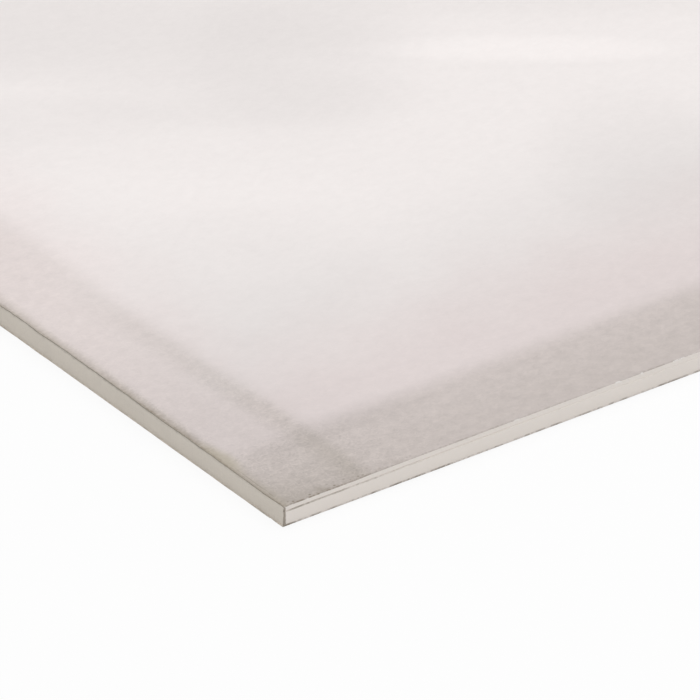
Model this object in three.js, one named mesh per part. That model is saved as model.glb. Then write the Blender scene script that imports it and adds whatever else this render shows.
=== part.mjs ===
// Drywall sheet: a foamed gypsum core cast between a face paper and a back paper.
// Millimetres, +Z up, X along the sheet's length and Y across its width. The sheet lies on its
// back, face up, with the origin on the floor under its middle.
import * as THREE from "three";
import { toCreasedNormals } from "three/addons/utils/BufferGeometryUtils.js";

// The stock sheet
const SHEET_LENGTH = 2438.4;
const SHEET_WIDTH = 1219.2;
const SHEET_THICKNESS = 12.7;

// The papers
const FACE_PAPER_THICKNESS = 0.4;
const BACK_PAPER_THICKNESS = 0.35;
const FLAP_WIDTH = 25; // how far the face paper runs in under the back, from each long edge
const BACK_PAPER_LAP = 14; // how far the back paper covers each flap
const FLAP_CLEARANCE = 0.1; // from the floor up to the uncovered part of each flap
const JOG_WIDTH = 3; // the ramp on which the flap rises to pass over the back paper

// The taper along each long edge, which takes the joint tape and compound
const TAPER_WIDTH = 55;
const TAPER_DEPTH = 0.6;
const TAPER_BEND_WIDTH = 12; // the soft bend between the flat face and the taper

// The section of each long edge
const CORE_ARRIS_RADIUS = 0.4;
const CORE_FOLD_RADIUS = 0.4;
const CREASE_DROP = 3.2; // from the arris down to the crease that the folding wheel pressed
const CREASE_WIDTH = 0.9;
const CREASE_DEPTH = 0.35;
const SHOULDER_SETBACK = 0.25; // how far the strip over the crease leans in, from arris to crease

// The shallow pressed step at each cut end
const STEP_DISTANCE = 49; // from the cut to the middle of the step
const STEP_WIDTH = 12;
const STEP_DEPTH = 0.25;
const END_FALL = 0.15; // how much further the face falls between the step and the cut
const ROLL_WIDTH = 5; // the arris that the cut rolled over
const ROLL_DEPTH = 0.15;

// Segments in each bend of the section, and in each bend along the length
const SECTION_SEGMENTS = 6;
const END_SEGMENTS = 4;

const CREASE_HEIGHT = SHEET_THICKNESS - TAPER_DEPTH - CREASE_DROP;

/**
 * The outline of one long edge, from the flat face round the edge to the end of the flap, with x
 * as the inset from the edge and y as the height. `cover` is the depth of paper over it: 0 on the
 * outside of the face paper, and the paper's thickness on the gypsum.
 */
function edgeOutline(cover) {
  const face = SHEET_THICKNESS - cover;
  const arris = face - TAPER_DEPTH;
  const underside = FLAP_CLEARANCE + cover;
  const lapped = BACK_PAPER_THICKNESS + cover;
  const lapStart = FLAP_WIDTH - BACK_PAPER_LAP;
  const paperBeyond = FACE_PAPER_THICKNESS - cover;
  const arrisRadius = CORE_ARRIS_RADIUS + paperBeyond;
  const foldRadius = CORE_FOLD_RADIUS + paperBeyond;

  const taperHeight = (inset) => face - TAPER_DEPTH * (1 - inset / TAPER_WIDTH);
  const bendStart = TAPER_WIDTH + TAPER_BEND_WIDTH / 2;
  const bendEnd = TAPER_WIDTH - TAPER_BEND_WIDTH / 2;
  const arrisStart = cover + arrisRadius;
  const upperLip = CREASE_HEIGHT + CREASE_WIDTH / 2;
  const lowerLip = CREASE_HEIGHT - CREASE_WIDTH / 2;
  const lean = SHOULDER_SETBACK / (arris - upperLip);

  const outline = new THREE.Path();
  outline.moveTo(bendStart, face);
  outline.quadraticCurveTo(TAPER_WIDTH, face, bendEnd, taperHeight(bendEnd));
  outline.lineTo(arrisStart, taperHeight(arrisStart));
  outline.quadraticCurveTo(cover, arris, cover + lean * arrisRadius, arris - arrisRadius);
  outline.lineTo(cover + SHOULDER_SETBACK, upperLip);
  outline.quadraticCurveTo(cover + 2 * CREASE_DEPTH, CREASE_HEIGHT, cover, lowerLip);
  outline.lineTo(cover, underside + foldRadius);
  outline.quadraticCurveTo(cover, underside, cover + foldRadius, underside);
  outline.lineTo(lapStart - JOG_WIDTH, underside);
  outline.lineTo(lapStart, lapped);
  outline.lineTo(FLAP_WIDTH, lapped);
  return outline.getPoints(SECTION_SEGMENTS);
}

/**
 * The section's line under `cover` of paper, from the -Y flap over the face to the +Y flap. Each
 * point's `give` is how far it follows the face down where the sheet thins towards a cut end: 1 on
 * the face, and from the arris down to 0 at the crease and below.
 */
function sectionLine(cover) {
  const arris = SHEET_THICKNESS - TAPER_DEPTH - cover;
  const give = (z) => THREE.MathUtils.clamp((z - CREASE_HEIGHT) / (arris - CREASE_HEIGHT), 0, 1);
  const outline = edgeOutline(cover);
  const half = (side) =>
    outline.map(({ x: inset, y: z }) => ({ y: side * (SHEET_WIDTH / 2 - inset), z, give: give(z) }));
  return [...half(-1).reverse(), ...half(1)];
}

/** The stations along the sheet, from end to end, each with how far the face has dropped there. */
function stationsAlong() {
  const foot = STEP_DISTANCE - STEP_WIDTH / 2;
  const head = STEP_DISTANCE + STEP_WIDTH / 2;
  const fall = (inset) => STEP_DEPTH + END_FALL * (1 - inset / foot);
  const profile = new THREE.Path();
  profile.moveTo(0, fall(0) + ROLL_DEPTH);
  profile.quadraticCurveTo(ROLL_WIDTH / 2, fall(ROLL_WIDTH / 2), ROLL_WIDTH, fall(ROLL_WIDTH));
  profile.lineTo(foot, STEP_DEPTH);
  profile.bezierCurveTo(STEP_DISTANCE, STEP_DEPTH, STEP_DISTANCE, 0, head, 0);
  const points = profile.getPoints(END_SEGMENTS);
  const end = (side) =>
    points.map(({ x: inset, y: drop }) => ({ x: side * (SHEET_LENGTH / 2 - inset), drop }));
  return [...end(-1), ...end(1).reverse()];
}

/** Carries a closed section, counter-clockwise from +X, along the sheet from cut to cut. */
function loft(section) {
  const stations = stationsAlong();
  const count = section.length;
  const positions = stations.flatMap(({ x, drop }) =>
    section.flatMap(({ y, z, give }) => [x, y, z - give * drop]),
  );

  const triangles = [];
  for (let start = 0; start < count * (stations.length - 1); start += count) {
    section.forEach((p, j) => {
      const k = (j + 1) % count;
      const q = section[k];
      const [a, b, c, d] = [start + j, start + k, start + count + k, start + count + j];
      // The diagonal goes by place alone, so that the core and the paper share every face.
      const rising = p.y < q.y || (p.y === q.y && p.z < q.z);
      triangles.push(...(rising ? [a, b, c, a, c, d] : [a, b, d, b, c, d]));
    });
  }

  const [{ drop }] = stations;
  const cut = section.map(({ y, z, give }) => new THREE.Vector2(y, z - give * drop));
  const farCut = count * (stations.length - 1);
  for (const [a, b, c] of THREE.ShapeUtils.triangulateShape(cut, [])) {
    triangles.push(c, b, a, farCut + a, farCut + b, farCut + c);
  }

  const geometry = new THREE.BufferGeometry();
  geometry.setAttribute("position", new THREE.Float32BufferAttribute(positions, 3));
  geometry.setIndex(triangles);
  return toCreasedNormals(geometry);
}

/** The gypsum, cast against the face paper and rebated along its back for the two flaps. */
function coreGeometry() {
  const flapEnd = SHEET_WIDTH / 2 - FLAP_WIDTH;
  const back = [flapEnd, -flapEnd].map((y) => ({ y, z: BACK_PAPER_THICKNESS, give: 0 }));
  return loft([...sectionLine(FACE_PAPER_THICKNESS), ...back].reverse());
}

/** The face paper, over the face, round both long edges and in under the back as two flaps. */
function facePaperGeometry() {
  return loft([...sectionLine(0).reverse(), ...sectionLine(FACE_PAPER_THICKNESS)]);
}

/** The back paper, a flat web that laps both flaps and stops short of the long edges. */
function backPaperGeometry() {
  const width = SHEET_WIDTH - 2 * (FLAP_WIDTH - BACK_PAPER_LAP);
  const web = new THREE.BoxGeometry(SHEET_LENGTH, width, BACK_PAPER_THICKNESS);
  return web.translate(0, 0, BACK_PAPER_THICKNESS / 2);
}

/** One named piece of the sheet, in its own matt colour. */
function piece(name, geometry, color, roughness) {
  const material = new THREE.MeshStandardMaterial({ color, roughness, metalness: 0 });
  const mesh = new THREE.Mesh(geometry, material);
  mesh.name = name;
  return mesh;
}

const sheet = new THREE.Group();
sheet.add(
  piece("gypsum_core", coreGeometry(), 0xc4bcb1, 0.95),
  piece("face_paper", facePaperGeometry(), 0xe8e2df, 0.7),
  piece("back_paper", backPaperGeometry(), 0xa89f92, 0.85),
);

export default sheet;
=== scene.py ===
"""Looks of a full stock sheet of drywall that lies on its back, face up, on a plain floor.

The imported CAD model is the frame. Finer pieces stand in for its three nodes, each in the same
place: the gypsum core with its broken-open cut faces, the face paper with its pressed crease and
worn arrises, and the back paper with its slit edges. Lengths are metres, X runs along the sheet,
Y across it and Z up.
"""
import logging
import math
from dataclasses import dataclass, field
from enum import Enum, IntEnum
from typing import Any, Optional, Sequence, Union

import bpy
import numpy as np
from mathutils import Matrix, Vector


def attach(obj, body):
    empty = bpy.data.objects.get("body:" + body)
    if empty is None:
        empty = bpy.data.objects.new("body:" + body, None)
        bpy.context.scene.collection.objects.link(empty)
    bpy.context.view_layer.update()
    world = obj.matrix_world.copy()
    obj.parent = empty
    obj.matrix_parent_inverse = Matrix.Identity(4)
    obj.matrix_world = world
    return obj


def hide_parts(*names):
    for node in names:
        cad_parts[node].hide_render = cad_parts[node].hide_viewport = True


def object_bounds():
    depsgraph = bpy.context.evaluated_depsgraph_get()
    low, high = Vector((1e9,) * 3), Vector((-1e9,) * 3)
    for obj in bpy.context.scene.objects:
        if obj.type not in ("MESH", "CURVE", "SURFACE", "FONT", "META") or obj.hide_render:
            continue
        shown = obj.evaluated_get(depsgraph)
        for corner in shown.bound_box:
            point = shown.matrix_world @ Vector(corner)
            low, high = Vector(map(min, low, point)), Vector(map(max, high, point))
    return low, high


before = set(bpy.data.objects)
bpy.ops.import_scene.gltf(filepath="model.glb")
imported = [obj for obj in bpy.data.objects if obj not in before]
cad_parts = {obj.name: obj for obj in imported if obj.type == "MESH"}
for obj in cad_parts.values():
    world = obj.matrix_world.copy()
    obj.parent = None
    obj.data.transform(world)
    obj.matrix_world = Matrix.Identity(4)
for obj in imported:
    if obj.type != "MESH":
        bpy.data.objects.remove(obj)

LOG = logging.getLogger("drywall")
CAD_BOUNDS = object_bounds()
BODY = "root"
MM = 0.001

Number = Union[float, "Wire"]
Colour = tuple[float, float, float]
Place = tuple[float, float, float]
# One size for all three axes, or one each along X, Y and Z.
Size = Union[float, Sequence[float]]
# The value at which a share is 0 and the value at which it is 1, either way round.
Ramp = tuple[float, float]
# The numbers of a row's points, and their places along it.
Row = tuple[np.ndarray, np.ndarray]


class End(Enum):
    """The sheet's two cut ends, by the sign of X."""

    NEAR = -1
    FAR = 1


class Side(Enum):
    """The sheet's two long edges, by the sign of Y."""

    NEAR = -1
    FAR = 1


class Seed(IntEnum):
    """The seed of each unevenness. Those of the cuts move by one either way, for the two ends."""

    SAW_WAVE = 11
    FRAYED_NICKS = 15
    GYPSUM_GRAIN = 21
    GYPSUM_GRIT = 25
    CRUMBLING = 31
    ARRIS_WEAR = 41
    ARRIS_CHIPS = 42
    CREASE_SWAY = 43
    CREASE_SHAKE = 44
    CREASE_PRESS = 45
    SIDE_BOW = 46
    SLIT_SWAY = 51
    SLIT_SHAKE = 52


# ------------------------------------------------------------------ curves and unevenness


def smoothstep(t: np.ndarray) -> np.ndarray:
    """The cubic 3t^2 - 2t^3, with t held between 0 and 1."""
    t = np.clip(t, 0.0, 1.0)
    return t * t * (3.0 - 2.0 * t)


def bell(distance: np.ndarray, width: float) -> np.ndarray:
    """The bell curve exp(-(distance / width)^2)."""
    return np.exp(-((distance / width) ** 2))


def bend(start: Sequence[float], pull: Sequence[float], stop: Sequence[float], steps: int) -> np.ndarray:
    """Points on a quadratic curve, (1-t)^2 start + 2t(1-t) pull + t^2 stop, at even steps of t."""
    t = np.linspace(0.0, 1.0, steps + 1)[:, None]
    return (1 - t) ** 2 * np.array(start) + 2 * t * (1 - t) * np.array(pull) + t**2 * np.array(stop)


@dataclass(frozen=True)
class Grain:
    """Seeded unevenness from -1 to 1: random values on a square lattice, blended by smoothsteps.

    Attributes:
        seed: Seed of the random values.
        pitch: Distance between the lattice's lines.
        lattice: Number of lines each way, after which the values repeat.
        apart: Number of lines between two strands.
    """

    seed: int
    pitch: float
    lattice: int = 257
    apart: int = 10

    def over(self, u: np.ndarray, v: Union[np.ndarray, float]) -> np.ndarray:
        """Reads the unevenness at places (u, v), in metres.

        Args:
            u: First coordinate.
            v: Second coordinate, which broadcasts with the first.

        Returns:
            Values of the broadcast shape.
        """
        table = np.random.default_rng(int(self.seed)).uniform(-1.0, 1.0, (self.lattice, self.lattice))
        u, v = np.broadcast_arrays(np.asarray(u) / self.pitch, np.asarray(v) / self.pitch)
        i, j = np.floor(u).astype(int), np.floor(v).astype(int)
        s, t = smoothstep(u - i), smoothstep(v - j)
        i, j = i % (self.lattice - 1), j % (self.lattice - 1)
        low = table[i, j] * (1 - s) + table[i + 1, j] * s
        high = table[i, j + 1] * (1 - s) + table[i + 1, j + 1] * s
        return low * (1 - t) + high * t

    def along(self, u: np.ndarray, strand: int) -> np.ndarray:
        """Reads one of many separate lines of unevenness, each with its own strand number."""
        return self.over(u, (strand * self.apart + 0.5) * self.pitch)


# ------------------------------------------------------------------ the sheet's form


@dataclass(frozen=True)
class EdgeLine:
    """One long edge in section, from the flat face round to the end of the flap.

    Attributes:
        inset: Distance in from the long edge at each point.
        height: Height of each point.
        groove: Share of the crease's depth at each point.
        give: Share of the face's drop at the cut ends that each point follows.
        arc: Distance round the section from the arris, negative on the face.
        face_points: Number of points down to the foot of the arris.
        fold_point: Number of the point where the fold under the sheet starts.
    """

    inset: np.ndarray
    height: np.ndarray
    groove: np.ndarray
    give: np.ndarray
    arc: np.ndarray
    face_points: int
    fold_point: int


@dataclass(frozen=True)
class SheetForm:
    """The sheet's sizes.

    Attributes:
        length: Length along X.
        width: Width across Y.
        thickness: Thickness of the flat sheet between the tapers.
        face_paper: Thickness of the face paper.
        back_paper: Thickness of the back paper.
        flap_width: How far the face paper runs in under the back, from each long edge.
        flap_start: Inset of the first point on a flap.
        back_lap: How far the back paper covers each flap.
        flap_clearance: From the floor up to the uncovered part of each flap.
        jog_width: Width of the ramp on which a flap rises to pass over the back paper.
        taper_width: Width of the taper along each long edge.
        taper_depth: How far the taper falls.
        taper_bend: Width of the soft bend between the flat face and the taper.
        taper_stops: Insets of the points on the taper.
        arris_radius: Radius of the gypsum's arris.
        fold_radius: Radius of the gypsum's lower edge, where the paper folds under.
        crease_drop: From the arris down to the crease that the folding wheel pressed.
        crease_width: Width of the crease.
        crease_depth: Depth of the crease.
        shoulder_setback: How far the strip over the crease leans in, from arris to crease.
        step_distance: From a cut to the middle of the step pressed across the sheet's end.
        step_width: Width of the step.
        step_depth: Depth of the step.
        end_fall: How much further the face falls between the step and the cut.
        roll_width: Width of the arris that the cut rolled over.
        roll_depth: How far it rolled over.
    """

    length: float
    width: float
    thickness: float
    face_paper: float = 0.4 * MM
    back_paper: float = 0.35 * MM
    flap_width: float = 25 * MM
    flap_start: float = 4 * MM
    back_lap: float = 14 * MM
    flap_clearance: float = 0.1 * MM
    jog_width: float = 3 * MM
    taper_width: float = 55 * MM
    taper_depth: float = 0.6 * MM
    taper_bend: float = 12 * MM
    taper_stops: tuple[float, ...] = (30 * MM, 15 * MM, 6 * MM, 3 * MM)
    arris_radius: float = 0.4 * MM
    fold_radius: float = 0.4 * MM
    crease_drop: float = 3.2 * MM
    crease_width: float = 0.9 * MM
    crease_depth: float = 0.25 * MM
    shoulder_setback: float = 0.25 * MM
    step_distance: float = 49 * MM
    step_width: float = 12 * MM
    step_depth: float = 0.25 * MM
    end_fall: float = 0.15 * MM
    roll_width: float = 5 * MM
    roll_depth: float = 0.15 * MM

    @property
    def arris_height(self) -> float:
        """Height of the long arris, away from the cut ends."""
        return self.thickness - self.taper_depth

    @property
    def crease_height(self) -> float:
        """Height of the crease along each long edge."""
        return self.arris_height - self.crease_drop

    @property
    def flat_half(self) -> float:
        """Half the width of the flat face between the two tapers."""
        return self.width / 2 - self.taper_width - self.taper_bend / 2

    @property
    def step_foot(self) -> float:
        """Distance in from a cut end at which the pressed step has its full depth."""
        return self.step_distance - self.step_width / 2

    @property
    def step_head(self) -> float:
        """Distance in from a cut end at which the pressed step starts."""
        return self.step_distance + self.step_width / 2

    @property
    def cut_drop(self) -> float:
        """How far the face has dropped at a cut end."""
        return float(self.drop(np.zeros(1))[0])

    def drop(self, reach: np.ndarray) -> np.ndarray:
        """How far the face has dropped near a cut end.

        The sum of a smoothstep over the pressed step, a straight fall from its foot to the cut,
        and a parabola over the rolled arris.

        Args:
            reach: Distance in from the cut end.

        Returns:
            The drop at each distance.
        """
        step = self.step_depth * (1 - smoothstep((reach - self.step_foot) / self.step_width))
        fall = self.end_fall * np.clip(1 - reach / self.step_foot, 0, 1)
        return step + fall + self.roll_depth * np.clip(1 - reach / self.roll_width, 0, 1) ** 2

    def on_taper(self, inset: float, cover: float) -> tuple[float, float]:
        """The point of the taper's straight run at an inset, under a depth of paper."""
        return inset, self.thickness - cover - self.taper_depth * (1 - inset / self.taper_width)

    def edge_line(self, cover: float) -> EdgeLine:
        """One long edge under a depth of paper.

        Quadratic bends join straight runs. Above the crease the side leans in towards it, and the
        crease itself is a squared cosine.

        Args:
            cover: 0 for the outside of the face paper, and its thickness for the gypsum.

        Returns:
            The edge's line.
        """
        face, arris = self.thickness - cover, self.arris_height - cover
        underside, lapped = self.flap_clearance + cover, self.back_paper + cover
        round_arris = self.arris_radius + self.face_paper
        round_fold = self.fold_radius + self.face_paper
        arris_foot = self.arris_height - round_arris
        fold_top = self.flap_clearance + round_fold
        lip = self.crease_width / 2
        crease_top, crease_foot = self.crease_height + lip, self.crease_height - lip
        lap_start = self.flap_width - self.back_lap
        flat_end = (self.taper_width + self.taper_bend / 2, face)
        taper_start = self.on_taper(self.taper_width - self.taper_bend / 2, cover)
        taper_end = self.on_taper(round_arris, cover)
        runs = (
            bend(flat_end, (self.taper_width, face), taper_start, 8),
            [self.on_taper(inset, cover) for inset in self.taper_stops],
            bend(taper_end, (cover, arris), (cover, arris_foot), 6),
            [(cover, z) for z in np.linspace(arris_foot, crease_top, 4)[1:]],
            [(cover, z) for z in np.linspace(crease_top, crease_foot, 9)[1:]],
            [(cover, z) for z in np.linspace(crease_foot, fold_top, 5)[1:]],
            bend((cover, fold_top), (cover, underside), (round_fold, underside), 5)[1:],
            [(self.flap_start, underside), (lap_start - self.jog_width, underside)],
            [(lap_start, lapped), (self.flap_width, lapped)],
        )
        inset, height = np.concatenate([np.asarray(run) for run in runs]).T
        on_side = (inset < cover + 0.05 * MM) & (height < arris)
        gap = np.clip((height - self.crease_height) / lip, -1, 1)
        groove = on_side * np.cos(gap * math.pi / 2) ** 2
        rise = (height - self.crease_height) / (arris - self.crease_height)
        lean = on_side * np.where(gap < 0, groove, 1 - rise)
        arc = np.concatenate([[0.0], np.cumsum(np.hypot(np.diff(inset), np.diff(height)))])
        face_points = sum(len(run) for run in runs[:3])
        arris_point = face_points - 1 - len(runs[2]) // 2
        return EdgeLine(
            inset=inset + lean * self.shoulder_setback,
            height=height,
            groove=groove,
            give=np.clip(rise, 0, 1),
            arc=arc - arc[arris_point],
            face_points=face_points,
            fold_point=sum(len(run) for run in runs[:6]) - 1,
        )


@dataclass(frozen=True)
class CutLine:
    """How the saw left the cut ends. Every place on them lies in, never out, from the full length.

    Attributes:
        form: The sheet's sizes.
        wave: Depth of the saw's slow wave along the paper.
        wave_pitch: Its pitch.
        fray: Depth of the paper's frayed nicks.
        fray_pitch: Their pitch.
        calmest: What is left of wave and nicks at the foot of the cut.
        recess: How far in the gypsum lies at the least.
        roughness: Depth of its roughness.
        grain_pitch: Pitch of its coarser grain.
        grit_pitch: Pitch of its finer grain.
        crumble: How far in it has crumbled away under the face paper.
        crumble_height: How far down the crumbling reaches.
        crumble_pitch: Pitch of the crumbled patches.
    """

    form: SheetForm
    wave: float = 0.8 * MM
    wave_pitch: float = 16 * MM
    fray: float = 0.45 * MM
    fray_pitch: float = 3.5 * MM
    calmest: float = 0.25
    recess: float = 0.40 * MM
    roughness: float = 0.18 * MM
    grain_pitch: float = 4.5 * MM
    grit_pitch: float = 1.9 * MM
    crumble: float = 0.50 * MM
    crumble_height: float = 1.2 * MM
    crumble_pitch: float = 13 * MM

    def paper(self, end: End, y: np.ndarray, z: np.ndarray) -> np.ndarray:
        """How far in a paper's cut edge lies: a slow wave plus frayed nicks, calmer low down.

        Args:
            end: Which cut end.
            y: Place across the sheet.
            z: Height.

        Returns:
            Distances in from the full length.
        """
        slow = Grain(Seed.SAW_WAVE + end.value, self.wave_pitch).over(y, z) * 0.5 + 0.5
        nicks = np.clip(Grain(Seed.FRAYED_NICKS + end.value, self.fray_pitch).over(y, z) - 0.1, 0, 1)
        calmer = np.clip(z / self.form.crease_height, self.calmest, 1)
        return (self.wave * slow + self.fray * nicks) * calmer

    def gypsum(self, end: End, y: np.ndarray, z: np.ndarray, depth: np.ndarray) -> np.ndarray:
        """How far in the gypsum lies: rough all over, and crumbled away in patches under the paper.

        Args:
            end: Which cut end.
            y: Place across the sheet.
            z: Height.
            depth: Distance down from the face paper.

        Returns:
            Distances in from the full length.
        """
        grain = Grain(Seed.GYPSUM_GRAIN + end.value, self.grain_pitch).over(y, z)
        grit = Grain(Seed.GYPSUM_GRIT + end.value, self.grit_pitch).over(y, z)
        rough = grain * 0.6 + grit * 0.4
        patches = Grain(Seed.CRUMBLING + end.value, self.crumble_pitch).over(y, 0.0) * 0.4 + 0.6
        crumbled = patches * np.clip(1 - depth / self.crumble_height, 0, 1)
        return self.recess + self.roughness * (rough * 0.5 + 0.5) + self.crumble * crumbled


# ------------------------------------------------------------------ mesh building


@dataclass
class Patchwork:
    """Gathers the points and triangles of one closed mesh from patches, and makes its object.

    Attributes:
        points: Positions of the points, patch by patch.
        arcs: Their distances round the section from the arris.
        triangles: The numbers of each triangle's corners.
        skins: The number of each triangle's material.
        count: Number of points so far.
    """

    points: list[np.ndarray] = field(default_factory=list)
    arcs: list[np.ndarray] = field(default_factory=list)
    triangles: list[np.ndarray] = field(default_factory=list)
    skins: list[np.ndarray] = field(default_factory=list)
    count: int = 0

    def add(self, points: np.ndarray, arc: Union[np.ndarray, float] = 0.0) -> np.ndarray:
        """Adds points and numbers them.

        Args:
            points: Positions, of shape (..., 3).
            arc: Distance round the section from the arris, which broadcasts over the points.

        Returns:
            Vertex numbers, of shape (...).
        """
        shape = points.shape[:-1]
        numbers = np.arange(self.count, self.count + math.prod(shape)).reshape(shape)
        self.points.append(points.reshape(-1, 3))
        self.arcs.append(np.broadcast_to(arc, shape).ravel())
        self.count += numbers.size
        return numbers

    def cover(self, triangles: np.ndarray, skin: int, flip: bool) -> None:
        """Adds triangles that wear one of the object's materials, turned over where `flip` is set."""
        self.triangles.append(triangles[:, ::-1] if flip else triangles)
        self.skins.append(np.full(len(triangles), skin))

    def grid(self, numbers: np.ndarray, skin: int, flip: bool = False) -> None:
        """Fills a grid of points with two triangles in each cell.

        Args:
            numbers: The points' numbers. The grid faces along (first axis) x (second axis).
            skin: Which material the grid wears.
            flip: Turns the grid over.
        """
        a, b, c, d = numbers[:-1, :-1], numbers[1:, :-1], numbers[1:, 1:], numbers[:-1, 1:]
        corners = np.stack([a, b, c, a, c, d], axis=-1)
        self.cover(corners.reshape(-1, 3), skin, flip)

    def zip(self, low: Row, high: Row, skin: int, flip: bool = False) -> None:
        """Joins two rows that run the same way and are divided differently.

        Each step of a row makes one triangle with the point that the other row has reached. Where
        both rows stop at the same place, the low row steps first.

        Args:
            low: The first row.
            high: The second row.
            skin: Which material the strip wears.
            flip: Turns the strip over. It otherwise faces along (the rows' way) x (low to high).
        """
        (a, a_at), (b, b_at) = low, high
        a_stops, b_stops = a_at[1:] - 1e-9, b_at[1:]
        b_reached = np.searchsorted(b_stops, a_stops)
        a_reached = np.searchsorted(a_stops, b_stops, side="right")
        self.cover(np.column_stack([a[:-1], a[1:], b[b_reached]]), skin, flip)
        self.cover(np.column_stack([b[1:], b[:-1], a[a_reached]]), skin, flip)

    def build(self, name: str, crisp_from: float, skins: Sequence[bpy.types.Material]) -> bpy.types.Object:
        """Makes the object, at the origin with its place in its mesh.

        The UV map "section" holds the place along the sheet and the distance round the section.

        Args:
            name: Name of the object and of its mesh.
            crisp_from: Edges that turn by less than this, in degrees, shade smooth.
            skins: The materials, in the order of their numbers.

        Returns:
            The new object, linked to the scene.
        """
        points, triangles = np.concatenate(self.points), np.concatenate(self.triangles)
        mesh = bpy.data.meshes.new(name)
        mesh.vertices.add(len(points))
        mesh.vertices.foreach_set("co", points.astype(np.float32).ravel())
        mesh.loops.add(triangles.size)
        mesh.loops.foreach_set("vertex_index", triangles.astype(np.int32).ravel())
        mesh.polygons.add(len(triangles))
        mesh.polygons.foreach_set("loop_start", np.arange(0, triangles.size, 3, dtype=np.int32))
        mesh.polygons.foreach_set("material_index", np.concatenate(self.skins).astype(np.int32))
        mesh.update(calc_edges=True)
        corners = triangles.ravel()
        uv = np.column_stack([points[corners, 0], np.concatenate(self.arcs)[corners]])
        mesh.uv_layers.new(name="section").data.foreach_set("uv", uv.astype(np.float32).ravel())
        for skin in skins:
            mesh.materials.append(skin)
        mesh.shade_smooth()
        mesh.set_sharp_from_angle(angle=math.radians(crisp_from))
        piece = bpy.data.objects.new(name, mesh)
        bpy.context.scene.collection.objects.link(piece)
        return piece


# ------------------------------------------------------------------ shader writing


class Wire:
    """A number that flows between shader nodes, with the arithmetic of a number."""

    def __init__(self, bench: "Bench", socket: bpy.types.NodeSocket) -> None:
        """Wraps an output socket in the bench's node tree."""
        self.bench = bench
        self.socket = socket

    def __add__(self, other: Number) -> "Wire":
        """Sum."""
        return self.bench.math("ADD", self, other)

    def __sub__(self, other: Number) -> "Wire":
        """Difference."""
        return self.bench.math("SUBTRACT", self, other)

    def __rsub__(self, other: Number) -> "Wire":
        """Difference from a plain number."""
        return self.bench.math("SUBTRACT", other, self)

    def __mul__(self, other: Number) -> "Wire":
        """Product."""
        return self.bench.math("MULTIPLY", self, other)

    def __abs__(self) -> "Wire":
        """Size without sign."""
        return self.bench.math("ABSOLUTE", self)

    __radd__ = __add__
    __rmul__ = __mul__


Fill = Union[float, Sequence[float], bpy.types.NodeSocket, Wire]


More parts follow.
